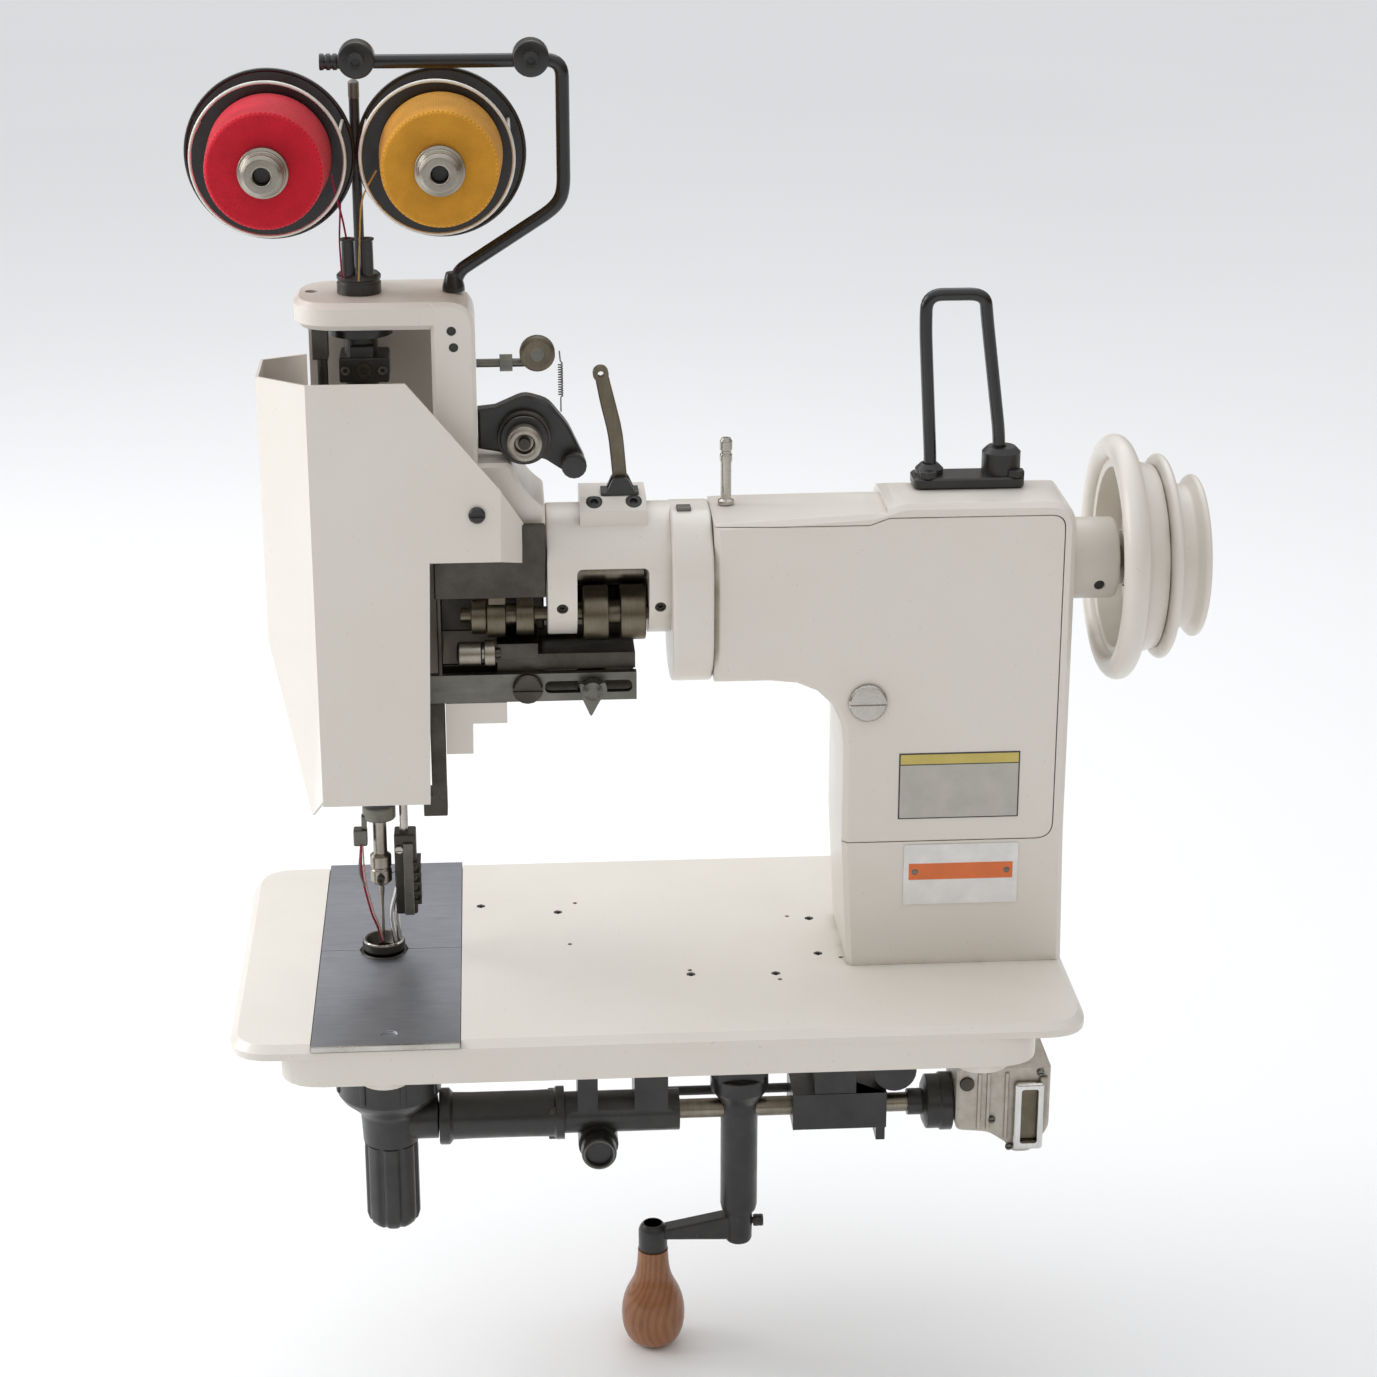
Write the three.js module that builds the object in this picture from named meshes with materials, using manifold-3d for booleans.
// Hand-guided chain-stitch embroidery machine head, in millimetres, +Z up.
// Origin: centre of the bed outline, in the plane of the rim's underside, where the head
// rests in its table cut-out.  +X runs from the needle to the handwheel, -Y is the
// operator's side.
import * as THREE from 'three';
import { mergeVertices } from 'three/addons/utils/BufferGeometryUtils.js';
import { ConvexGeometry } from 'three/addons/geometries/ConvexGeometry.js';
import Module from 'manifold-3d';

const wasm = await Module();
wasm.setup();

// ---------- driving dimensions ----------
const GAP = 0.3; // between pieces that touch
const RUN = 0.5; // between pieces that turn or slide in each other

const BED_LENGTH = 477;
const BED_WIDTH = 250;
const BED_THICKNESS = 8;
const BED_CORNER = 25;
const BED_EDGE = 4;
const SKIRT_DROP = 17;
const SKIRT_INSET = 27;
const SKIRT_WALL = 6;
const PLATE_SPAN = 82.5;
const PLATE_THICKNESS = 3;
const PLATE_OVERHANG = 1.5;
const PLATE_LEFT_OF_NEEDLE = 37;
const NEEDLE_INSET = 82; // from the bed's left end to the needle
const COLUMN_INSET = 3.5; // from the bed's right end to the column
const COLUMN_WIDTH = 127.5;
const SHAFT_HEIGHT = 232; // main shaft above the bed
const ARM_FRONT = -41;
const ARM_BACK = 34;
const ARM_WALL = 9;
const COVER_PLATE = 6;
const SHAFT_RADIUS = 7;
const SLEEVE_RADIUS = 37;
const BOSS_RADIUS = 22.9;
const WHEEL_RADIUS = 62.6;
const WHEEL_TUBE = 7.3;
const STEER_DROP = 103; // steering shaft below the rim's underside
const STEER_RADIUS = 5.8;
const CRANK_REACH = 209.5; // from the needle to the crank's axis
const CRANK_THROW = 52.5;
const STEERING_TUBE = 9; // radius of the tube that turns the needle
const NEEDLE_BAR = 4;
const COVER_SHEET = 1.6;
const SPOOL_OFFSET = 46; // spool axes either side of the needle's axis
const SPOOL_RISE = 231; // spool axes above the main shaft
const SPOOL_BACK = 34;
const SPOOL_FRONT = 31;
const DISC_RADIUS = 46;
const GUIDE_BAR = 3.75;

// ---------- places that follow from them ----------
const needleX = -BED_LENGTH / 2 + NEEDLE_INSET;
const columnRight = BED_LENGTH / 2 - COLUMN_INSET;
const columnLeft = columnRight - COLUMN_WIDTH;
const above = (height) => BED_THICKNESS + height; // height above the sewing surface
const shaftZ = above(SHAFT_HEIGHT);
const fromNeedle = (dx) => needleX + dx;
const onShaft = (dz) => shaftZ + dz;
const armUnder = onShaft(-56.5);
const sleeveLeft = fromNeedle(98.5);
const collarLeft = fromNeedle(167.3);
const collarRight = fromNeedle(190.2);
const wheelX = columnRight + 30;
const steerZ = -STEER_DROP;
const crankX = fromNeedle(CRANK_REACH);
const gripX = crankX - CRANK_THROW;
const uprightX = columnRight - 41;
const gearboxLeft = columnRight - 53.5;
const camY = -14;
const camZ = onShaft(-22);
const bridgeZ = onShaft(144);
const bridgeTop = onShaft(159);

// ---------- solids ----------
function solid(geometry) {
  const bare = geometry.clone();
  for (const name of Object.keys(bare.attributes)) {
    if (name !== 'position') bare.deleteAttribute(name);
  }
  const merged = mergeVertices(bare, 1e-4);
  const place = merged.attributes.position;
  const corner = (i) => new THREE.Vector3().fromBufferAttribute(place, i);
  const triangles = [];
  let volume = 0;
  for (let i = 0; i < merged.index.count; i += 3) {
    const [a, b, c] = [0, 1, 2].map((k) => merged.index.getX(i + k));
    if (a === b || b === c || c === a) continue;
    triangles.push(a, b, c);
    volume += corner(a).dot(corner(b).cross(corner(c)));
  }
  if (volume < 0) triangles.reverse();
  return new wasm.Manifold(new wasm.Mesh({
    numProp: 3,
    vertProperties: Float32Array.from(place.array),
    triVerts: Uint32Array.from(triangles),
  }));
}

function joined(...pieces) {
  return pieces.reduce((sum, piece) => sum.add(piece));
}

function cut(body, ...tools) {
  return tools.reduce((rest, tool) => rest.subtract(tool), body);
}

function box(x0, x1, y0, y1, z0, z1) {
  const geometry = new THREE.BoxGeometry(x1 - x0, y1 - y0, z1 - z0);
  return solid(geometry.translate((x0 + x1) / 2, (y0 + y1) / 2, (z0 + z1) / 2));
}

// an outline from [x, y, corner] points, each corner rounded over that length
function outline(points) {
  const shape = new THREE.Shape();
  points.forEach(([x, y, corner = 0], i) => {
    const at = new THREE.Vector2(x, y);
    const before = new THREE.Vector2(...points.at(i - 1).slice(0, 2)).sub(at).setLength(corner).add(at);
    const after = new THREE.Vector2(...points[(i + 1) % points.length].slice(0, 2));
    after.sub(at).setLength(corner).add(at);
    if (i === 0) shape.moveTo(before.x, before.y);
    else shape.lineTo(before.x, before.y);
    if (corner > 0) shape.quadraticCurveTo(x, y, after.x, after.y);
  });
  shape.closePath();
  return shape;
}

function roundedRectangle(x0, x1, y0, y1, corner) {
  return outline([[x0, y0, corner], [x1, y0, corner], [x1, y1, corner], [x0, y1, corner]]);
}

// extrusions: plane 'xy' rises along Z, 'xz' runs along Y, 'yz' runs along X
function prism(shape, plane, from, to, edge = 0, curveSegments = 6) {
  const geometry = new THREE.ExtrudeGeometry(shape, {
    depth: to - from - 2 * edge,
    bevelEnabled: edge > 0,
    bevelThickness: edge,
    bevelSize: edge,
    bevelOffset: -edge,
    bevelSegments: 1,
    curveSegments,
  });
  const axes = {
    xy: [[1, 0, 0], [0, 1, 0], [0, 0, 1]],
    xz: [[1, 0, 0], [0, 0, 1], [0, -1, 0]],
    yz: [[0, 1, 0], [0, 0, 1], [1, 0, 0]],
  }[plane].map((axis) => new THREE.Vector3(...axis));
  geometry.translate(0, 0, edge);
  geometry.applyMatrix4(new THREE.Matrix4().makeBasis(...axes));
  const shift = { xy: [0, 0, from], xz: [0, to, 0], yz: [from, 0, 0] }[plane];
  return solid(geometry.translate(...shift));
}

// a turned piece: [radius, place along the axis] points, closed on the axis at both ends
function turned(axis, centre, profile, segments = 16) {
  const first = [0, profile[0][1]];
  const last = [0, profile.at(-1)[1]];
  const points = [first, ...profile, last].map(([r, s]) => new THREE.Vector2(r, s));
  const geometry = new THREE.LatheGeometry(points, segments);
  if (axis === 'x') geometry.rotateZ(-Math.PI / 2);
  if (axis === 'z') geometry.rotateX(Math.PI / 2);
  return solid(geometry.translate(...centre));
}

// a plain round rod; at gives the two coordinates that the axis doesn't run along
function rod(axis, at, radius, from, to, segments = 12) {
  const centre = { x: [0, at[0], at[1]], y: [at[0], 0, at[1]], z: [at[0], at[1], 0] }[axis];
  return turned(axis, centre, [[radius, from], [radius, to]], segments);
}

// a rod bent along points, its corners rounded over the given length
function bentRod(points, radius, corner, steps, sides = 8) {
  const path = new THREE.CurvePath();
  const at = points.map((p) => new THREE.Vector3(...p));
  let start = at[0];
  for (let i = 1; i < at.length - 1; i += 1) {
    const entry = at[i - 1].clone().sub(at[i]).setLength(corner).add(at[i]);
    const exit = at[i + 1].clone().sub(at[i]).setLength(corner).add(at[i]);
    path.add(new THREE.LineCurve3(start, entry));
    path.add(new THREE.QuadraticBezierCurve3(entry, at[i], exit));
    start = exit;
  }
  path.add(new THREE.LineCurve3(start, at.at(-1)));
  const section = new THREE.Shape().absarc(0, 0, radius, 0, 2 * Math.PI);
  return solid(new THREE.ExtrudeGeometry(section, {
    extrudePath: path, steps, curveSegments: sides / 2,
  }));
}

// a flat sheet panel: its outer corners, thickened towards the inside point
function panel(corners, inside, thickness) {
  const at = corners.map((p) => new THREE.Vector3(...p));
  const normal = at[1].clone().sub(at[0]).cross(at[2].clone().sub(at[0])).normalize();
  if (normal.dot(new THREE.Vector3(...inside).sub(at[0])) < 0) normal.negate();
  const inner = at.map((p) => p.clone().addScaledVector(normal, thickness));
  return solid(new ConvexGeometry([...at, ...inner]));
}

// ---------- finishes ----------
const finish = {
  paint: { color: 0xe4ddd0, roughness: 0.42, metalness: 0 },
  plate: { color: 0x7f8894, roughness: 0.35, metalness: 0.8 },
  steel: { color: 0xa9a59c, roughness: 0.3, metalness: 0.9 },
  darkSteel: { color: 0x4a4640, roughness: 0.45, metalness: 0.7 },
  black: { color: 0x1f1e1d, roughness: 0.5, metalness: 0.2 },
  aluminium: { color: 0xb3aea4, roughness: 0.4, metalness: 0.8 },
  wood: { color: 0xb98046, roughness: 0.55, metalness: 0 },
  redThread: { color: 0xc61f38, roughness: 0.8, metalness: 0 },
  yellowThread: { color: 0xdb9a2e, roughness: 0.8, metalness: 0 },
  label: { color: 0xd8d4cc, roughness: 0.4, metalness: 0.1 },
};

const machine = new THREE.Group();

function add(name, body, look) {
  const data = body.getMesh();
  const geometry = new THREE.BufferGeometry();
  const corners = Float32Array.from(data.vertProperties);
  geometry.setAttribute('position', new THREE.BufferAttribute(corners, 3));
  geometry.setIndex(new THREE.BufferAttribute(Uint32Array.from(data.triVerts), 1));
  geometry.computeVertexNormals();
  const mesh = new THREE.Mesh(geometry, new THREE.MeshStandardMaterial(finish[look]));
  mesh.name = name;
  machine.add(mesh);
}

// ---------- bed ----------
const plateLeft = fromNeedle(-PLATE_LEFT_OF_NEEDLE);
const plateRight = plateLeft + PLATE_SPAN;
const plateFloor = BED_THICKNESS - PLATE_THICKNESS;
const NEEDLE_PLATE_RADIUS = 13.6;
const LOOPER_BORE = 9.9;
const housingEnd = steerZ - 13.5;

function bedHoles() {
  const large = [[56.7, 57.8], [103, 45.9], [253.1, 27], [253.2, -22.7], [177.2, -46.2], [226.1, -48.1]];
  const small = [[113.7, 58.5], [108.9, -0.5], [240.2, 30.8], [266, -29], [177, -40.8], [227.7, -56.2]];
  const drill = (radius) => ([dx, y]) => rod('z', [fromNeedle(dx), y], radius, above(-4), above(1), 6);
  return [...large.map(drill(2.9)), ...small.map(drill(1.5))];
}

function bed() {
  const [halfLength, halfWidth] = [BED_LENGTH / 2, BED_WIDTH / 2];
  const rimShape = roundedRectangle(-halfLength, halfLength, -halfWidth, halfWidth, BED_CORNER);
  const rim = prism(rimShape, 'xy', -2 * BED_EDGE, BED_THICKNESS, BED_EDGE);
  const below = box(-halfLength - 1, halfLength + 1, -halfWidth - 1, halfWidth + 1, -3 * BED_EDGE, 0);
  const skirtX = halfLength - SKIRT_INSET;
  const skirtY = halfWidth - GAP;
  const [wallX, wallY] = [skirtX - SKIRT_WALL, skirtY - SKIRT_WALL];
  const skirt = cut(
    prism(roundedRectangle(-skirtX, skirtX, -skirtY, skirtY, BED_CORNER), 'xy', -SKIRT_DROP, 1),
    prism(roundedRectangle(-wallX, wallX, -wallY, wallY, BED_CORNER - SKIRT_WALL), 'xy', -SKIRT_DROP - 1, 2),
  );
  const bosses = [[halfLength - 59, 16, 4], [fromNeedle(3), 14, 3]].map(([x, radius, drop]) => rod(
    'z', [x, -skirtY + radius], radius, -SKIRT_DROP - drop, 1, 24,
  ));
  return cut(
    joined(cut(rim, below), skirt, ...bosses),
    box(plateLeft, plateRight, -BED_WIDTH, BED_WIDTH, plateFloor, BED_THICKNESS + 1),
    box(fromNeedle(-27), fromNeedle(28), -45, 45, -1, BED_THICKNESS),
    rod('z', [uprightX, 0], 8, -1, BED_THICKNESS + 1),
    ...bedHoles(),
  );
}

function slidePlate(side) {
  const near = side * GAP;
  const far = side * (BED_WIDTH / 2 + PLATE_OVERHANG);
  const blank = box(
    plateLeft + GAP, plateRight - GAP, Math.min(near, far), Math.max(near, far), plateFloor, BED_THICKNESS,
  );
  const notch = rod('z', [needleX, 0], NEEDLE_PLATE_RADIUS + RUN, 0, BED_THICKNESS + 1);
  const fingerHold = rod('z', [fromNeedle(6), side * 112], 4.5, BED_THICKNESS - 1, BED_THICKNESS + 1, 16);
  return cut(blank, notch, fingerHold);
}

function needlePlate() {
  const disc = turned('z', [needleX, 0, 0], [
    [NEEDLE_PLATE_RADIUS, plateFloor - 2], [NEEDLE_PLATE_RADIUS, BED_THICKNESS - 0.4],
    [NEEDLE_PLATE_RADIUS - 0.8, BED_THICKNESS + 0.2],
  ], 18);
  return cut(disc, rod('z', [needleX, 0], 3, 0, BED_THICKNESS + 1, 12));
}

// ---------- column, arm and sleeve ----------
const armAtCollar = onShaft(35);
const armAtColumn = onShaft(40);
const columnTop = onShaft(45);
const REAR_ROUND = 38;
const bossEnd = columnRight + 29;

function castingBody() {
  const front = outline([
    [columnLeft + 4.5, BED_THICKNESS - 10], [columnLeft, above(75)], [columnLeft, armUnder, 42],
    [collarRight + GAP, armUnder], [collarRight + GAP, armAtCollar], [columnLeft + 16, armAtColumn, 4],
    [columnLeft + 30, columnTop, 4], [columnRight, columnTop, 16], [columnRight, above(80)],
    [columnRight + 2, BED_THICKNESS - 10],
  ]);
  const body = prism(front, 'xz', ARM_FRONT, ARM_BACK, 3, 5);
  const section = (top) => outline([
    [ARM_FRONT - 1, -20], [ARM_BACK + 1, -20], [ARM_BACK, top, REAR_ROUND], [ARM_FRONT - 1, top],
  ]);
  const split = columnLeft + 22;
  return joined(
    body.intersect(prism(section(columnTop), 'yz', split, columnRight + 5)),
    body.intersect(prism(section(armAtColumn), 'yz', collarRight - 5, split)),
  );
}

// the front cover's outline; clear is kept all round it in the casting's rebate
function coverRegion(clear) {
  return outline([
    [collarRight - 5, armUnder - 20], [columnLeft - 20, above(77.2) - clear],
    [columnRight - 6.8 + clear, above(77.2) - clear, 10],
    [columnRight - 6.8 + clear, onShaft(37.5) + clear, 8],
    [columnLeft + 22.8, onShaft(37.5) + clear], [columnLeft + 12, onShaft(33.6) + clear],
    [collarRight - 5, onShaft(33.6) + clear],
  ]);
}

function shaftBoss() {
  const boss = turned('x', [0, 0, shaftZ], [
    [BOSS_RADIUS, columnRight - 4], [BOSS_RADIUS, bossEnd - 1.5], [BOSS_RADIUS - 1.5, bossEnd],
  ], 18);
  return cut(boss, rod('y', [columnRight + 18, onShaft(-10)], 3.2, -BOSS_RADIUS - 1, -14, 8));
}

const plugScrew = { x: columnLeft + 13, z: onShaft(-69.7) };

function armCasting() {
  const rebate = prism(coverRegion(0.4), 'xz', ARM_FRONT - 5, ARM_FRONT + COVER_PLATE);
  const inside = ARM_BACK - ARM_WALL;
  const upper = prism(outline([
    [collarRight + ARM_WALL, armUnder + ARM_WALL], [columnLeft - 30, armUnder + ARM_WALL],
    [columnLeft + ARM_WALL, armUnder - 36], [columnLeft + ARM_WALL, above(88)],
    [columnRight - 16, above(88)], [columnRight - 16, onShaft(28)], [columnLeft + 26, onShaft(28)],
    [collarRight + ARM_WALL, onShaft(24)],
  ]), 'xz', ARM_FRONT - 5, inside);
  const lower = box(
    columnLeft + 16, columnRight - 16, ARM_FRONT + ARM_WALL, inside, BED_THICKNESS + ARM_WALL, above(90),
  );
  return cut(
    joined(castingBody(), shaftBoss()),
    box(columnLeft - 20, columnRight + 20, ARM_FRONT - 5, ARM_BACK + 5, -10, BED_THICKNESS),
    rebate, upper, lower,
    rod('x', [0, shaftZ], SHAFT_RADIUS + RUN, collarRight - 5, bossEnd + 1),
    rod('z', [uprightX, 0], 6 + RUN, 0, BED_THICKNESS + ARM_WALL + 1),
    rod('y', [plugScrew.x, plugScrew.z], 4 + GAP, ARM_FRONT, ARM_FRONT + 18, 12),
  );
}

function armCoverPlate() {
  const region = prism(coverRegion(0), 'xz', ARM_FRONT - 5, ARM_FRONT + COVER_PLATE - GAP);
  return cut(
    castingBody().intersect(region),
    rod('y', [plugScrew.x, plugScrew.z], 4 + GAP, ARM_FRONT - 5, ARM_FRONT + 18, 12),
  );
}

// a slotted screw along Y with its head's face at front
function slottedScrew(x, z, front, headRadius, headHeight, shankRadius, end) {
  const screw = turned('y', [x, 0, z], [
    [headRadius - 1, front], [headRadius, front + 1], [headRadius, front + headHeight],
    [shankRadius, front + headHeight], [shankRadius, end],
  ], 18);
  const slot = box(x - 2 * headRadius, x + 2 * headRadius, front - 1, front + 1.2, z - 1.1, z + 1.1);
  return cut(screw, slot);
}

function armCoverScrew() {
  return slottedScrew(plugScrew.x, plugScrew.z, ARM_FRONT - 3, 11, 3 - GAP, 4, ARM_FRONT + 16);
}

function namePlate() {
  const shape = roundedRectangle(columnRight - 92, columnRight - 26, above(38), above(75), 1.5);
  return prism(shape, 'xz', ARM_FRONT - 0.9, ARM_FRONT - 0.1, 0, 2);
}

function sleeveFlange() {
  const section = roundedRectangle(ARM_FRONT - 5, ARM_BACK + 4, onShaft(-63), onShaft(37), 36);
  const screwHole = rod('z', [collarLeft + 8, -12], 2.6, onShaft(33), onShaft(40), 8);
  return cut(prism(section, 'yz', collarLeft, collarRight, 2, 5), screwHole);
}

const windowLeft = sleeveLeft + 14.5;
const windowRight = collarLeft - 12.4;

function sleeveHousing() {
  const end = collarLeft;
  const barrel = rod('x', [0, shaftZ], SLEEVE_RADIUS, sleeveLeft, end + 4, 26);
  const block = prism(
    roundedRectangle(windowLeft + 2.5, windowRight - 0.5, -21, 15, 6), 'xy',
    onShaft(20), onShaft(45), 1.5, 4,
  );
  const screwHoles = [(sleeveLeft + windowLeft) / 2, (windowRight + end) / 2].map((x) => rod(
    'y', [x, onShaft(-13)], 3.2, -SLEEVE_RADIUS - 2, -26, 12,
  ));
  const topHoles = [windowLeft + 7.5, windowRight - 5].map((x) => rod(
    'z', [x, -12], 3.4, onShaft(41), onShaft(46), 12,
  ));
  return cut(
    joined(barrel, block, sleeveFlange()),
    rod('x', [0, shaftZ], 29, windowLeft, windowRight, 24),
    box(windowLeft, windowRight, -SLEEVE_RADIUS - 5, 12, shaftZ - 60, onShaft(10)),
    rod('x', [0, shaftZ], SHAFT_RADIUS + RUN, sleeveLeft - 1, collarRight + 1),
    rod('x', [camY, camZ], 4 + RUN, sleeveLeft - 1, end - 3, 16),
    ...screwHoles, ...topHoles,
  );
}

// ---------- head ----------
const postLeft = fromNeedle(38.5);
const postRight = fromNeedle(62);
const HEAD_FRONT = -30;
const HEAD_BACK = 34;
const neckEnd = sleeveLeft - GAP;

const barZ = onShaft(-62.2);
const BAR_FRONT = -25;
const BAR_BACK = -20;

function lowerGuide() {
  const upper = box(
    fromNeedle(40.5), fromNeedle(75), BAR_FRONT, HEAD_BACK - 6, onShaft(-83), barZ - 8.2 - GAP,
  );
  const lower = box(fromNeedle(40.5), fromNeedle(55.5), BAR_FRONT, 12, onShaft(-101), onShaft(-82));
  return joined(upper, lower);
}

function headFrame() {
  const bridge = prism(outline([
    [fromNeedle(-35.5), HEAD_FRONT, 26], [postRight - 12, HEAD_FRONT],
    [postRight - 12, HEAD_BACK], [fromNeedle(-35.5), HEAD_BACK, 26],
  ]), 'xy', bridgeZ, bridgeTop, 3, 6);
  const post = prism(outline([
    [postLeft, onShaft(54)], [postRight, onShaft(54)], [postRight, bridgeTop, 15], [postLeft, bridgeTop],
  ]), 'xz', HEAD_FRONT, 14, 2, 6);
  const neck = prism(outline([
    [postLeft, onShaft(-5)], [neckEnd, onShaft(-5)], [neckEnd, onShaft(43), 2],
    [fromNeedle(92), onShaft(48), 3],
    [fromNeedle(84), onShaft(58), 4], [fromNeedle(80), onShaft(69), 3], [postLeft, onShaft(69)],
  ]), 'xz', HEAD_FRONT + 2, HEAD_BACK - 4, 2, 4);
  const web = box(fromNeedle(-30), fromNeedle(95), HEAD_BACK - 8, HEAD_BACK, onShaft(-72), onShaft(40));
  const backWall = box(
    fromNeedle(-30), fromNeedle(57), HEAD_BACK - 8, HEAD_BACK, onShaft(38), onShaft(146),
  );
  const leg = box(fromNeedle(-16), fromNeedle(18), HEAD_BACK - 8, HEAD_BACK, above(106), onShaft(-70));
  const bearing = prism(
    roundedRectangle(fromNeedle(-25), fromNeedle(25), -25, HEAD_BACK - 7, 12), 'xy',
    above(106), above(118), 0, 4,
  );
  const postHoles = [[49.5, 143.5], [50.5, 134.5]].map(([dx, dz]) => rod(
    'y', [fromNeedle(dx), onShaft(dz)], 2.6, HEAD_FRONT - 1, HEAD_FRONT + 4, 12,
  ));
  return cut(
    joined(bridge, post, neck, web, backWall, leg, bearing, lowerGuide()),
    rod('z', [needleX, 0], STEERING_TUBE + RUN, bridgeZ - 1, bridgeTop + 1, 28),
    rod('z', [needleX, 0], 18 + RUN, above(100), above(120), 32),
    rod('z', [fromNeedle(-26), 4], 3.6, bridgeTop - 4, bridgeTop + 1, 12),
    ...postHoles,
  );
}

const COVER_FRONT = -48;
const coverScrew = { x: fromNeedle(60.9), z: onShaft(46.2) };

function faceCover() {
  const t = COVER_SHEET;
  const inside = [needleX, 0, onShaft(-20)];
  const foldX = fromNeedle(-28.8);
  const [sideX, sideY, backY] = [fromNeedle(-57.5), -10, 30];
  const [tuckX, tuckZ, waistZ] = [fromNeedle(-37.5), above(90), onShaft(-36)];
  const rightX = fromNeedle(74);
  const topZ = onShaft(119.4);
  const hemZ = above(110);
  const stepZ = onShaft(19.2);
  const hemX = fromNeedle(31);
  const front = prism(outline([
    [foldX, hemZ + 3], [hemX, hemZ], [hemX + 3.6, stepZ], [rightX - 0.6, stepZ],
    [rightX, onShaft(59.4)], [fromNeedle(24.5), topZ], [foldX, topZ],
  ]), 'xz', COVER_FRONT, COVER_FRONT + t);
  const sheets = [
    [
      [foldX, COVER_FRONT, topZ], [sideX, sideY, topZ - 4],
      [sideX, sideY, waistZ], [foldX, COVER_FRONT, waistZ],
    ],
    [[foldX, COVER_FRONT, waistZ], [sideX, sideY, waistZ], [tuckX, sideY, tuckZ]],
    [[foldX, COVER_FRONT, waistZ], [tuckX, sideY, tuckZ], [foldX, COVER_FRONT, hemZ + 3]],
    [[sideX, sideY, topZ - 4], [sideX, backY, topZ - 4], [sideX, backY, waistZ], [sideX, sideY, waistZ]],
    [[sideX, sideY, waistZ], [sideX, backY, waistZ], [tuckX, backY, tuckZ], [tuckX, sideY, tuckZ]],
    [
      [sideX, backY, topZ - 4], [fromNeedle(-33), 42, topZ - 4],
      [fromNeedle(-33), 42, waistZ], [sideX, backY, waistZ],
    ],
    [[rightX, COVER_FRONT, onShaft(59.4)], [rightX - 0.6, COVER_FRONT, stepZ],
      [rightX + 14, HEAD_FRONT - 1, onShaft(13)], [rightX + 14, HEAD_FRONT - 1, onShaft(33)]],
  ].map((corners) => panel(corners, inside, t));
  const hemReturn = box(foldX, hemX, COVER_FRONT, COVER_FRONT + 9, hemZ, hemZ + t + 3);
  const screwHole = rod('y', [coverScrew.x, coverScrew.z], 2.2 + GAP, COVER_FRONT - 1, COVER_FRONT + 5, 12);
  return cut(joined(front, ...sheets, hemReturn), screwHole);
}

function faceCoverScrew() {
  return slottedScrew(coverScrew.x, coverScrew.z, COVER_FRONT - 2.4, 4.6, 2.2, 2.2, HEAD_FRONT + 2 - GAP);
}

// ---------- drive shafts ----------
const BEVEL = 16;
const ROLLER = 15.6;
const SHAFT_FACETS = 20;

function mainShaft() {
  return turned('x', [0, 0, shaftZ], [
    [SHAFT_RADIUS, sleeveLeft + 1], [SHAFT_RADIUS, windowLeft + 1], [10, windowLeft + 1.5],
    [10, windowRight - 1.5], [SHAFT_RADIUS, windowRight - 1], [SHAFT_RADIUS, uprightX + 9],
    [8.5, uprightX + 9], [BEVEL - 0.5, uprightX + BEVEL], [SHAFT_RADIUS, uprightX + BEVEL + 1],
    [SHAFT_RADIUS, wheelX + 44],
  ], SHAFT_FACETS);
}

function uprightShaft() {
  return turned('z', [uprightX, 0, 0], [
    [6, -66], [6, onShaft(-BEVEL - 1)], [BEVEL - 0.5, onShaft(-BEVEL)], [8.5, onShaft(-9)],
  ], SHAFT_FACETS);
}

function camShaft() {
  const ends = { left: fromNeedle(50), right: collarLeft - 4 };
  return turned('x', [0, camY, camZ], [
    [4, ends.left], [4, fromNeedle(56)], [11, fromNeedle(56)], [11, fromNeedle(64.5)],
    [12.8, fromNeedle(65)], [12.8, fromNeedle(75)], [6, fromNeedle(75.5)], [6, fromNeedle(81)],
    [12, fromNeedle(81)], [12, fromNeedle(91)], [4, fromNeedle(91.5)], [4, windowLeft + 5],
    [ROLLER, windowLeft + 5.5], [ROLLER, windowLeft + 19], [7, windowLeft + 19.5], [7, windowRight - 15.5],
    [ROLLER, windowRight - 15], [ROLLER, windowRight - 1.5], [4, windowRight - 1], [4, ends.right],
  ], 18);
}

function handwheel() {
  const ring = solid(new THREE.TorusGeometry(WHEEL_RADIUS, WHEEL_TUBE, 7, 26)
    .rotateY(Math.PI / 2).translate(wheelX, 0, shaftZ));
  const drumRim = WHEEL_RADIUS - 6.1;
  const drum = turned('x', [0, 0, shaftZ], [
    [drumRim - 4.5, wheelX - 2], [drumRim, wheelX - 2], [drumRim - 2, wheelX + 12],
    [drumRim - 4.5, wheelX + 21],
  ], 22);
  const hollow = turned('x', [0, 0, shaftZ], [
    [drumRim - 5.5, wheelX - 8], [drumRim - 6.5, wheelX + 14],
  ], 22);
  const hub = rod('x', [0, shaftZ], 16, wheelX + 3, wheelX + 21);
  const bore = rod('x', [0, shaftZ], SHAFT_RADIUS + GAP, wheelX - 8, wheelX + 30);
  return cut(joined(ring, cut(drum, hollow), hub), bore);
}

function beltPulley() {
  const start = wheelX + 21 + GAP;
  const body = turned('x', [0, 0, shaftZ], [
    [52, start], [57.5, start + 1.5], [58.4, start + 3.5], [57.5, start + 6], [44, start + 9],
    [41, start + 12], [41, start + 18], [45.5, start + 21], [46.2, start + 23], [45, start + 25],
    [38, start + 25], [34, start + 19], [16, start + 19], [15, start + 24],
  ], 22);
  return cut(body, rod('x', [0, shaftZ], SHAFT_RADIUS + GAP, start - 1, start + 30));
}

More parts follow.
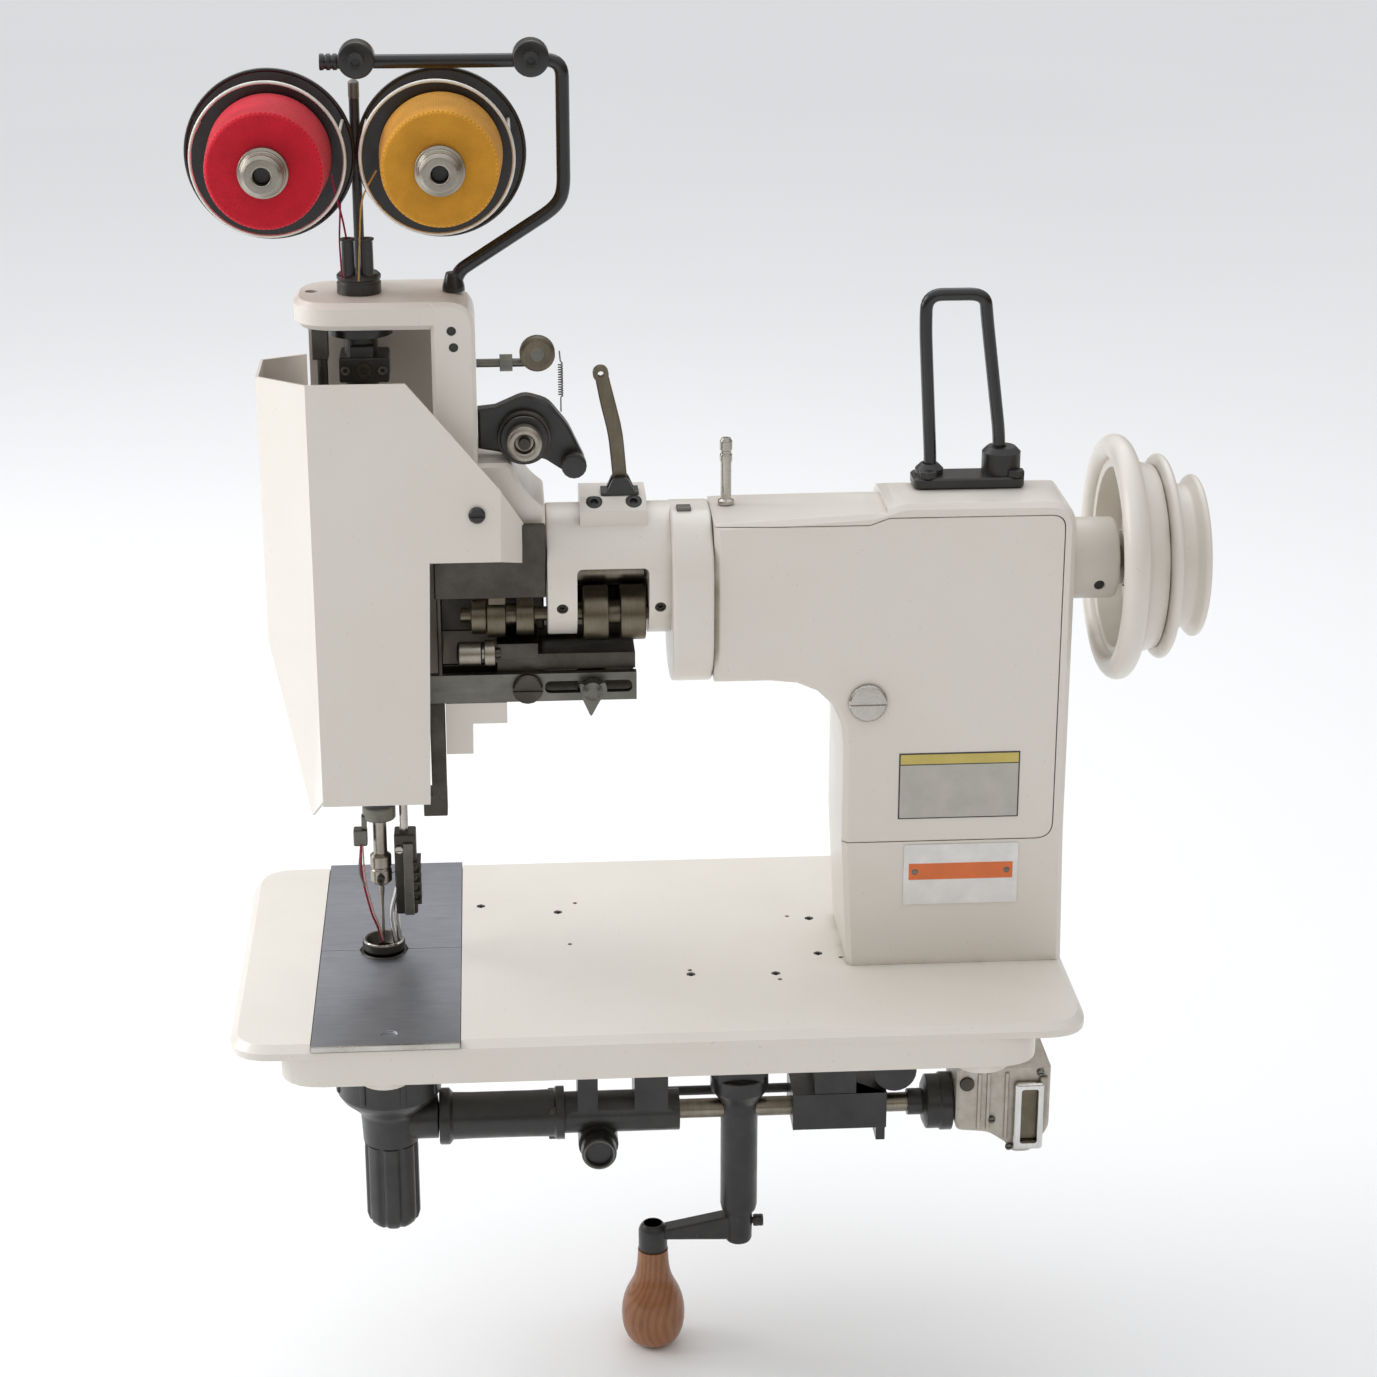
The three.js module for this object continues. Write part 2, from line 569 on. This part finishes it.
// ---------- carry handle ----------
const handle = { left: columnRight - 77.5, right: columnRight - 38, bar: 3.5 };
const handleFoot = columnTop + 6.5;

function handleBase() {
  const plate = prism(
    roundedRectangle(handle.left - 10, handle.right + 13, -13, 9, 5), 'xy',
    columnTop + GAP, handleFoot, 1, 4,
  );
  const socket = (x, radius, top) => turned('z', [x, 0, 0], [
    [radius, columnTop + 3], [radius, top - 3], [radius - 3, top],
  ], 16);
  const bolts = [[handle.left - 2, -9], [handle.right + 8, -9]].map(([x, y]) => rod(
    'z', [x, y], 3.2, columnTop + 3, handleFoot + 2.5, 12,
  ));
  return cut(
    joined(
      plate, socket(handle.left, 8, handleFoot + 6), socket(handle.right + 1, 11, handleFoot + 15),
      ...bolts,
    ),
    rod('z', [handle.left, 0], handle.bar + GAP, handleFoot - 2, handleFoot + 20, 12),
    rod('z', [handle.right, 0], handle.bar + GAP, handleFoot - 2, handleFoot + 20, 12),
  );
}

function carryHandle() {
  const top = onShaft(153.5);
  return bentRod([
    [handle.left, 0, handleFoot - 1.5], [handle.left, 0, handleFoot + 8],
    [handle.left - 4.5, 0, top - 20], [handle.left - 4.5, 0, top], [handle.right - 10.5, 0, top],
    [handle.right - 9, 0, top - 14], [handle.right, 0, handleFoot + 20], [handle.right, 0, handleFoot - 1.5],
  ], handle.bar, 6, 34, 6);
}

// ---------- thread stand ----------
const spoolX = { left: needleX - SPOOL_OFFSET, right: needleX + SPOOL_OFFSET };
const spoolZ = onShaft(SPOOL_RISE);
const DISC_BACK = 20.5;
const DISC_FRONT = 18;
const SPOOL_FACE = -35;
const SPOOL_PIN = 4;

// the tube that turns the needle, the foot and the thread stand about the needle's axis
function steeringTube() {
  const tube = turned('z', [needleX, 0, 0], [
    [STEERING_TUBE, above(86)], [STEERING_TUBE, above(106.4)], [18, above(106.4)], [18, above(117.6)],
    [STEERING_TUBE, above(118.6)], [STEERING_TUBE, bridgeZ - 8], [17.5, bridgeZ - 7],
    [17.5, bridgeZ - 1], [STEERING_TUBE, bridgeZ - 0.5], [STEERING_TUBE, bridgeTop + RUN],
    [12, bridgeTop + RUN], [12, bridgeTop + 10], [10.5, bridgeTop + 11.5],
  ], 16);
  const clampTop = bridgeZ - 15;
  const clamp = box(fromNeedle(-12), fromNeedle(15), -13, 13, clampTop - 17, clampTop - 3);
  const clampNeck = box(fromNeedle(-6), fromNeedle(7), -12, 12, clampTop - 4, clampTop + 3);
  const lug = box(fromNeedle(-4), fromNeedle(4), 8, 27, bridgeTop + RUN, bridgeTop + 9);
  const threadTubes = [-5, 5].map((dx) => turned('z', [fromNeedle(dx), -6, 0], [
    [3.6, bridgeTop + 8], [3.4, onShaft(189)], [4.2, onShaft(190)],
  ], 12));
  return cut(
    joined(tube, clamp, clampNeck, lug, ...threadTubes),
    rod('z', [needleX, 0], NEEDLE_BAR + RUN, above(80), bridgeTop + 6),
    rod('z', [fromNeedle(14), 0], 2.5 + RUN, above(100), above(120), 12),
    ...[-5, 5].map((dx) => rod('z', [fromNeedle(dx), -6], 1.6, bridgeTop + 2, onShaft(191), 8)),
  );
}

function spoolCarrier() {
  const crossbar = box(
    spoolX.left - 5, spoolX.right + 5, DISC_BACK - 1, DISC_BACK + 5, spoolZ - 5, spoolZ + 5,
  );
  const post = rod('z', [needleX, 22], 2.8, bridgeTop + 9 + GAP, above(498), 12);
  const pins = [spoolX.left, spoolX.right].map((x) => rod(
    'y', [x, spoolZ], SPOOL_PIN, -34, DISC_BACK + 5, 14,
  ));
  const discs = [spoolX.left, spoolX.right].map((x) => turned('y', [x, 0, spoolZ], [
    [DISC_RADIUS - 1, DISC_FRONT], [DISC_RADIUS, DISC_BACK],
  ], 24));
  return joined(crossbar, post, ...pins, ...discs);
}

function threadSpool(x) {
  const spool = turned('y', [x, 0, spoolZ], [
    [SPOOL_FRONT - 2, SPOOL_FACE], [SPOOL_FRONT, SPOOL_FACE + 2], [SPOOL_BACK - 1, DISC_FRONT - 4],
    [SPOOL_BACK - 3, DISC_FRONT - RUN],
  ], 18);
  return cut(spool, rod('y', [x, spoolZ], SPOOL_PIN + RUN, SPOOL_FACE - 1, 30));
}

function spoolCap(x) {
  const back = SPOOL_FACE - RUN;
  const cap = turned('y', [x, 0, spoolZ], [
    [9.5, back - 15], [11, back - 13.5], [11, back - 7], [13.5, back - 6], [13.5, back],
  ], 18);
  return cut(cap, rod('y', [x, spoolZ], 3, back - 16, back - 6, 12));
}

function wireRing(x, side) {
  const wire = 0.9;
  const [ringX, ringZ, ringY, radius] = [x + side * 1.5, spoolZ + 4, -22, 40.5];
  const ring = solid(new THREE.TorusGeometry(radius, wire, 4, 24)
    .rotateX(Math.PI / 2).translate(ringX, ringY, ringZ));
  const stays = [0.35, Math.PI - 0.35].map((angle) => rod(
    'y', [ringX + radius * Math.cos(angle), ringZ + radius * Math.sin(angle)],
    wire, ringY, DISC_FRONT - GAP, 6,
  ));
  return joined(ring, ...stays);
}

const barX = { foot: fromNeedle(51), tall: fromNeedle(111.5), tip: fromNeedle(-16.5) };
const barTop = onShaft(283);

function guideBar() {
  const flange = rod('z', [barX.foot, 0], 6, bridgeTop + GAP, bridgeTop + 5, 16);
  const bar = bentRod([
    [barX.foot, 0, bridgeTop + 1], [barX.foot + 3, 0, bridgeTop + 11], [barX.foot + 11, 0, onShaft(175)],
    [barX.tall - 5, 0, onShaft(203.5)], [barX.tall, 0, onShaft(212)], [barX.tall, 0, barTop],
    [barX.tip, 0, barTop],
  ], GUIDE_BAR, 6, 34, 6);
  return joined(flange, bar);
}

function guideClamp(x) {
  const knob = turned('y', [x, 0, barTop + 1], [[8.5, -8], [9.8, -7], [9.8, 7], [8.5, 8]], 18);
  const thumb = rod('y', [x, barTop + 1], 4.5, -13, -7.5, 12);
  return cut(joined(knob, thumb), rod('x', [0, barTop], GUIDE_BAR + GAP, x - 15, x + 15, 12));
}

// ---------- thread tension ----------
const tension = { x: fromNeedle(87.5), z: onShaft(81) };
const release = { x: fromNeedle(114.5), z: onShaft(65.5) };

function tensionBracket() {
  const shape = outline([
    [postRight + GAP, onShaft(74)], [fromNeedle(73), onShaft(72)], [fromNeedle(86), onShaft(68), 3],
    [fromNeedle(98), onShaft(68), 3], [release.x - 7, release.z - 4, 3], [release.x, release.z - 8, 3],
    [release.x + 7, release.z, 3], [fromNeedle(112), onShaft(86), 3], [fromNeedle(101), onShaft(100), 4],
    [fromNeedle(88), onShaft(104), 4], [fromNeedle(72), onShaft(97)], [postRight + GAP, onShaft(96)],
  ]);
  const knob = turned('y', [release.x, 0, release.z], [[5.5, -24], [7, -23], [7, -17], [6, -13]], 16);
  return joined(prism(shape, 'xz', -15, -4, 1.5, 3), knob);
}

function tensionDiscs() {
  const discs = turned('y', [tension.x, 0, tension.z], [
    [14.5, -21], [13.5, -19.5], [11, -18.4], [13.5, -17.3], [14.5, -15.6], [9, -15 - GAP],
  ], 16);
  return cut(discs, rod('y', [tension.x, tension.z], 3, -22, -14, 12));
}

function tensionKnob() {
  const knob = turned('y', [tension.x, 0, tension.z], [
    [7.5, -34], [9.8, -33], [9.8, -24], [8.5, -21.5],
  ], 16);
  return cut(knob, rod('y', [tension.x, tension.z], 3.8, -35, -29, 16));
}

function checkWire() {
  const x = release.x - 6.4;
  const foot = rod('z', [x, -9], 1.1, onShaft(93), onShaft(106), 8);
  const blade = prism(roundedRectangle(x - 2, x + 2, onShaft(104), onShaft(128), 1.8), 'xz', -9.8, -8.2);
  return joined(foot, blade);
}

const upperGuide = { y: -10, z: onShaft(121), wheel: fromNeedle(95.5) };

function upperRod() {
  const shank = rod('x', [upperGuide.y, upperGuide.z], 2.4, postRight + GAP, upperGuide.wheel + 6, 12);
  const nut = rod('x', [upperGuide.y, upperGuide.z], 4.8, postRight + 13, postRight + 20, 6);
  const hub = turned('y', [upperGuide.wheel, 0, upperGuide.z + 5], [[5.5, -13], [5.5, -6]], 16);
  const wheel = turned('y', [upperGuide.wheel, 0, upperGuide.z + 6.6], [
    [8, -20], [9.6, -18.5], [9.6, -14.5], [8, -12],
  ], 16);
  return joined(shank, nut, hub, wheel);
}

// ---------- shift lever and thread post ----------
const lever = { x: fromNeedle(140.5), y: -5, z: onShaft(51), pin: 2 };

function leverClevis() {
  const [x, y] = [lever.x, lever.y];
  const base = box(x - 11, x + 10, y - 7, y + 7, onShaft(45) + GAP, onShaft(47));
  const ears = [-1, 1].map((side) => prism(
    outline([[x - 8, onShaft(46)], [x + 8, onShaft(46)], [x + 4, lever.z + 4, 3], [x - 4, lever.z + 4, 3]]),
    'xz', y + side * 5 - 2, y + side * 5 + 2,
  ));
  return joined(base, ...ears, rod('y', [x, lever.z], lever.pin, y - 7, y + 7, 12));
}

function shiftLever() {
  const { x, y, z } = lever;
  const blade = prism(outline([
    [x - 4, z, 2], [x + 4, z, 2], [x + 1.5, z + 30, 8], [x - 2.5, z + 46, 6], [x - 6.5, z + 63, 3],
    [x - 14, z + 63, 3], [x - 10.5, z + 44, 6], [x - 6.5, z + 28, 8],
  ]), 'xz', y - 2.2, y + 2.2, 0.6, 3);
  const eye = rod('y', [x - 10.3, z + 62], 4.4, y - 2.8, y + 2.8, 16);
  const hub = rod('y', [x, z], 3.6, y - 2.6, y + 2.6, 16);
  return cut(
    joined(blade, eye, hub),
    rod('y', [x - 10.3, z + 62], 1.8, y - 5, y + 5, 10),
    rod('y', [x, z], lever.pin + GAP, y - 5, y + 5, 12),
  );
}

function threadPost() {
  const x = collarRight + 9.6;
  return turned('z', [x, 0, 0], [
    [4.6, onShaft(36)], [4.6, onShaft(38)], [3, onShaft(39)], [3, onShaft(60)], [3.4, onShaft(61)],
    [3.4, onShaft(72)], [2.4, onShaft(74)],
  ], 14);
}

// ---------- feed mechanism under the sleeve ----------
const slot = { left: fromNeedle(96.5), right: fromNeedle(145.5), height: 7 };
const barScrewX = fromNeedle(86.8);
const sliderX = fromNeedle(122.9);

function slottedBar() {
  const blank = box(fromNeedle(31.5), fromNeedle(148), BAR_FRONT, BAR_BACK, barZ - 8.2, barZ + 8.2);
  const half = slot.height / 2;
  const opening = prism(
    roundedRectangle(slot.left, slot.right, barZ - half, barZ + half, half), 'xz', -30, -15,
  );
  return cut(blank, opening, rod('y', [barScrewX, barZ], 3 + GAP, -30, -15, 12));
}

function barScrew() {
  return slottedScrew(barScrewX, barZ, BAR_FRONT - 4, 8.6, 4 - GAP, 3, BAR_BACK + 12);
}

function slider() {
  const block = box(sliderX - 8, sliderX + 8, BAR_BACK + GAP, BAR_BACK + 8, barZ - 7, barZ + 7);
  const tongue = box(sliderX - 5, sliderX + 5, BAR_FRONT - GAP, BAR_BACK + 2, barZ - 3.2, barZ + 3.2);
  const bore = rod('y', [sliderX, barZ], 2 + GAP, -30, -14, 10);
  return cut(joined(block, tongue), bore);
}

function wingScrew() {
  const z = barZ;
  const body = turned('y', [sliderX, 0, z], [[3, -36], [5.5, -34], [5.5, -26], [2, -26], [2, -15]], 16);
  const wings = prism(outline([
    [sliderX - 7.5, z + 5, 2], [sliderX - 6, z - 4, 2], [sliderX - 1, z - 15.5, 2], [sliderX + 4, z - 6, 2],
    [sliderX + 8.5, z, 2], [sliderX + 7, z + 5.5, 2], [sliderX, z + 2, 2],
  ]), 'xz', -33, -29.5);
  return joined(body, wings);
}

function linkPin() {
  return turned('x', [0, -22, onShaft(-42)], [
    [5.5, fromNeedle(48)], [6.5, fromNeedle(49)], [6.5, fromNeedle(61)], [4, fromNeedle(61.5)],
    [4, fromNeedle(63)], [7.3, fromNeedle(63)], [7.3, fromNeedle(69)],
    [3, fromNeedle(69)], [3, fromNeedle(72)],
  ], 16);
}

function mechanismBlock() {
  const beam = box(fromNeedle(70), fromNeedle(147.5), BAR_BACK + GAP, 13, onShaft(-53.5), onShaft(-44));
  const pillar = box(fromNeedle(70), slot.left - 3, BAR_BACK + GAP, 13, barZ - 8, onShaft(-44));
  const arch = box(fromNeedle(70), fromNeedle(93), -22, 13, onShaft(-46), onShaft(-37));
  const lugTop = onShaft(-1 - SLEEVE_RADIUS);
  const lug = box(
    fromNeedle(70), fromNeedle(147.5), 12.5, HEAD_BACK - 8 - GAP, lugTop - 15.5, lugTop,
  );
  return cut(joined(beam, pillar, arch, lug, linkPin()), rod('y', [barScrewX, barZ], 3 + GAP, -21, 0, 12));
}

function liftBar() {
  const bar = box(fromNeedle(31.5), fromNeedle(40), -24, -14, above(93), barZ - 8.2 - GAP);
  const foot = box(fromNeedle(26.5), fromNeedle(40), -24, -8, above(93), above(106));
  return joined(bar, foot);
}

function guideRod() {
  const [x, y] = [fromNeedle(-20.5), -16];
  const shaft = rod('z', [x, y], 2.8, above(119), bridgeZ - 16, 12);
  const head = box(x - 5, x + 3.5, y - 6, y + 5, bridgeZ - 17, bridgeZ - GAP);
  return joined(shaft, head);
}

// ---------- needle and foot ----------
function needleBar() {
  return turned('z', [needleX, 0, 0], [
    [0.3, above(2)], [1.1, above(8)], [1.3, above(40)], [5, above(42)], [6.2, above(44)],
    [6.2, above(60)], [NEEDLE_BAR, above(62)], [NEEDLE_BAR, bridgeZ - 20],
  ], 16);
}

function pressFoot() {
  const ring = cut(
    turned('z', [needleX, 0, 0], [
      [10.5, above(0.6)], [12.3, above(2)], [12.3, above(5.5)], [11.3, above(7.5)],
    ], 16),
    turned('z', [needleX, 0, 0], [[6, above(-1)], [7.5, above(3)], [9.5, above(9)]], 16),
  );
  const shank = box(fromNeedle(8), fromNeedle(11.5), -2.5, 2.5, above(5), above(28));
  const block = box(fromNeedle(8), fromNeedle(21), -7, 7, above(25), above(75));
  const stem = rod('z', [fromNeedle(14), 0], 2.5, above(74), above(160), 12);
  return joined(ring, shank, block, stem);
}

// ---------- below the bed ----------
function looperHousing() {
  const body = turned('z', [needleX, 0, 0], [
    [16.5, housingEnd], [17.5, steerZ + 5], [24, steerZ + 13], [31, steerZ + 21], [31, -18],
    [14, -8], [14, plateFloor - 2 - GAP],
  ], 18);
  const flange = box(fromNeedle(-33), fromNeedle(33), -58, 58, -8, -GAP);
  const outlet = rod('x', [0, steerZ], 13, needleX, fromNeedle(29), 24);
  return cut(
    joined(body, flange, outlet),
    rod('z', [needleX, 0], LOOPER_BORE, -120, 10, 24),
    rod('x', [0, steerZ], STEER_RADIUS + RUN, needleX, fromNeedle(32), 20),
  );
}

function looperTube() {
  const outside = 16;
  const stem = LOOPER_BORE - RUN;
  const body = turned('z', [needleX, 0, 0], [
    [12, -172], [outside, -167], [outside, housingEnd - RUN], [stem, housingEnd - RUN],
    [stem, -4], [stem - 3, -3],
  ], 16);
  const flutes = Array.from({ length: 8 }, (_, i) => {
    const angle = (i + 0.5) * Math.PI / 4;
    const at = [needleX + (outside + 1) * Math.cos(angle), (outside + 1) * Math.sin(angle)];
    return rod('z', at, 2.6, -175, -120, 8);
  });
  return cut(body, rod('z', [needleX, 0], 4.5, -175, 0, 12), ...flutes);
}

function crossTube() {
  const [start, end] = [fromNeedle(29 + GAP), fromNeedle(104)];
  const tube = turned('x', [0, 0, steerZ], [
    [17, start], [17, start + 6], [14, start + 8], [14, end - 6], [16, end - 5], [16, end],
  ], 16);
  return cut(tube, rod('x', [0, steerZ], STEER_RADIUS + RUN, start - 1, end + 1));
}

const knobX = fromNeedle(124);

function middleBracket() {
  const left = fromNeedle(104 + GAP);
  const barrel = rod('x', [0, steerZ], 12.5, left, fromNeedle(173), 24);
  const hangers = [[112, 124], [146, 166]].map(([a, b]) => box(
    fromNeedle(a), fromNeedle(b), -11, 27, steerZ, -GAP,
  ));
  const knobBoss = rod('y', [knobX, steerZ - 16], 12, -12, 12, 24);
  return cut(
    joined(barrel, ...hangers, knobBoss),
    rod('x', [0, steerZ], STEER_RADIUS + RUN, left - 1, fromNeedle(175)),
  );
}

function looperKnob() {
  const knob = turned('y', [knobX, 0, steerZ - 16], [
    [8.8, -25], [10.4, -23.5], [10.4, -15], [9, -12 - GAP],
  ], 18);
  return cut(knob, rod('y', [knobX, steerZ - 16], 7.5, -26, -23, 20));
}

const bearingLeft = fromNeedle(241);
const bearingRight = fromNeedle(297.5);
const couplingLeft = fromNeedle(311);

function steeringShaft() {
  return turned('x', [0, 0, steerZ], [
    [STEER_RADIUS, fromNeedle(12)], [STEER_RADIUS, couplingLeft], [8, couplingLeft], [8, couplingLeft + 9],
    [16.5, couplingLeft + 11], [17.5, couplingLeft + 20], [17.5, gearboxLeft - RUN],
    [STEER_RADIUS, gearboxLeft - RUN], [STEER_RADIUS, gearboxLeft + 10],
  ], 18);
}

function crankHousing() {
  const body = turned('z', [crankX, 0, 0], [
    [10.4, -172], [11, -168], [11, steerZ + 5], [17.5, steerZ + 14], [17.5, steerZ + 23],
  ], 16);
  const hanger = box(crankX - 14, crankX + 14, -13, 13, steerZ + 21, -GAP);
  return cut(
    joined(body, hanger),
    rod('x', [0, steerZ], STEER_RADIUS + RUN, crankX - 20, crankX + 20),
    rod('z', [crankX, 0], 6.5, -175, steerZ, 20),
  );
}

function crankArm() {
  const spindle = rod('z', [crankX, 0], 6, -180, steerZ - STEER_RADIUS - 1, 20);
  const hub = turned('z', [crankX, 0, 0], [[6.5, -194], [8, -192], [8, -172 - RUN]], 16);
  const arm = prism(outline([
    [crankX, -174], [gripX + 6, -183.5], [gripX + 6, -190], [crankX, -191.5],
  ]), 'xz', -5.5, 5.5, 1);
  const lockScrew = turned('x', [0, 0, -181], [
    [2, crankX + 5], [2, crankX + 9], [3.6, crankX + 9], [3.6, crankX + 15],
  ], 10);
  const ferrule = turned('z', [gripX, 0, 0], [[8.4, -197.5], [8.6, -184], [6, -180.5]], 16);
  return cut(
    joined(spindle, hub, arm, ferrule, lockScrew),
    rod('z', [gripX, 0], 3 + RUN, -200, -184, 12),
  );
}

function woodGrip() {
  const top = -197.5 - RUN;
  return turned('z', [gripX, 0, 0], [
    [8, -263.5], [14, -259.5], [18.2, -251], [19.4, -241], [17.6, -230.5], [13.6, -221.5], [10.4, -213],
    [9.4, -206], [9.2, top],
    [3, top], [3, -186],
  ], 16);
}

function bearingBlock() {
  const block = box(bearingLeft, bearingRight, -11.5, 27, steerZ - 11, steerZ + 12.5);
  const hanger = box(bearingLeft + 13, bearingLeft + 38, -11, 27, steerZ, -GAP);
  const latch = box(bearingRight - 6, bearingRight - 0.5, -10, 4, steerZ - 20, steerZ);
  const guard = rod('y', [bearingRight + 5, steerZ + 25], 13, -9, 12, 24);
  const feedRod = rod('x', [21, steerZ + 1], 2.9, fromNeedle(166) + GAP, bearingLeft + 1, 12);
  const guardArm = box(bearingLeft + 30, bearingRight + 8, -9, 12, steerZ + 25, -50);
  return cut(
    joined(block, hanger, latch, guard, guardArm, feedRod),
    rod('x', [0, steerZ], STEER_RADIUS + RUN, bearingLeft - 1, bearingRight + 1),
  );
}

function gearbox() {
  const [left, right] = [gearboxLeft, columnRight + 3];
  const shell = prism(outline([
    [left, -112, 4], [left + 20, -114, 4], [left + 30, -121], [left + 35, -128, 3],
    [right - 10, -128, 4], [right, -112, 4], [right, -70, 2], [left, -70, 2],
  ]), 'xz', -22, 22, 1.5, 3);
  const hangerShape = roundedRectangle(left, left + 23, -20, 20, 5);
  const hanger = prism(hangerShape, 'xy', -75, -GAP, 0, 2);
  const window = box(left + 38.5, left + 49.5, -25, -18, -120, -84);
  const screwHole = rod('y', [left + 6, -81], 3, -25, -18, 8);
  return cut(
    joined(shell, hanger), window, screwHole,
    rod('x', [0, steerZ], STEER_RADIUS + RUN, left - 1, left + 14),
    rod('z', [uprightX, 0], 6 + RUN, -90, 5),
  );
}

// ---------- assembly ----------
add('bed', bed(), 'paint');
add('slide_plate_front', slidePlate(-1), 'plate');
add('slide_plate_rear', slidePlate(1), 'plate');
add('needle_plate', needlePlate(), 'steel');
add('arm_casting', armCasting(), 'paint');
add('arm_cover_plate', armCoverPlate(), 'paint');
add('arm_cover_screw', armCoverScrew(), 'steel');
add('name_plate', namePlate(), 'label');
add('sleeve_housing', sleeveHousing(), 'paint');
add('handle_base', handleBase(), 'black');
add('carry_handle', carryHandle(), 'black');
add('thread_post', threadPost(), 'steel');
add('head_frame', headFrame(), 'paint');
add('face_cover', faceCover(), 'paint');
add('face_cover_screw', faceCoverScrew(), 'black');

add('main_shaft', mainShaft(), 'steel');
add('upright_shaft', uprightShaft(), 'steel');
add('cam_shaft', camShaft(), 'steel');
add('handwheel', handwheel(), 'paint');
add('belt_pulley', beltPulley(), 'paint');

add('guide_bar', guideBar(), 'black');
add('guide_clamp_left', guideClamp(fromNeedle(3)), 'black');
add('guide_clamp_right', guideClamp(fromNeedle(95)), 'black');
add('steering_tube', steeringTube(), 'black');
add('spool_carrier', spoolCarrier(), 'black');
for (const side of ['left', 'right']) {
  add(`spool_cap_${side}`, spoolCap(spoolX[side]), 'steel');
  add(`wire_ring_${side}`, wireRing(spoolX[side], side === 'left' ? 1 : -1), 'steel');
}
add('red_spool', threadSpool(spoolX.left), 'redThread');
add('yellow_spool', threadSpool(spoolX.right), 'yellowThread');

add('tension_bracket', tensionBracket(), 'black');
add('tension_discs', tensionDiscs(), 'steel');
add('tension_knob', tensionKnob(), 'steel');
add('check_wire', checkWire(), 'steel');
add('upper_guide_rod', upperRod(), 'steel');
add('lever_clevis', leverClevis(), 'black');
add('shift_lever', shiftLever(), 'darkSteel');

add('slotted_bar', slottedBar(), 'steel');
add('stitch_slider', slider(), 'darkSteel');
add('wing_screw', wingScrew(), 'steel');
add('bar_screw', barScrew(), 'darkSteel');
add('mechanism_block', mechanismBlock(), 'darkSteel');
add('lift_bar', liftBar(), 'darkSteel');
add('guide_rod', guideRod(), 'steel');
add('needle_bar', needleBar(), 'steel');
add('press_foot', pressFoot(), 'steel');

add('looper_housing', looperHousing(), 'black');
add('looper_tube', looperTube(), 'black');
add('cross_tube', crossTube(), 'black');
add('middle_bracket', middleBracket(), 'black');
add('looper_knob', looperKnob(), 'black');
add('steering_shaft', steeringShaft(), 'steel');
add('crank_housing', crankHousing(), 'black');
add('crank_arm', crankArm(), 'black');
add('wood_grip', woodGrip(), 'wood');
add('bearing_block', bearingBlock(), 'black');
add('gearbox', gearbox(), 'aluminium');

export default machine;
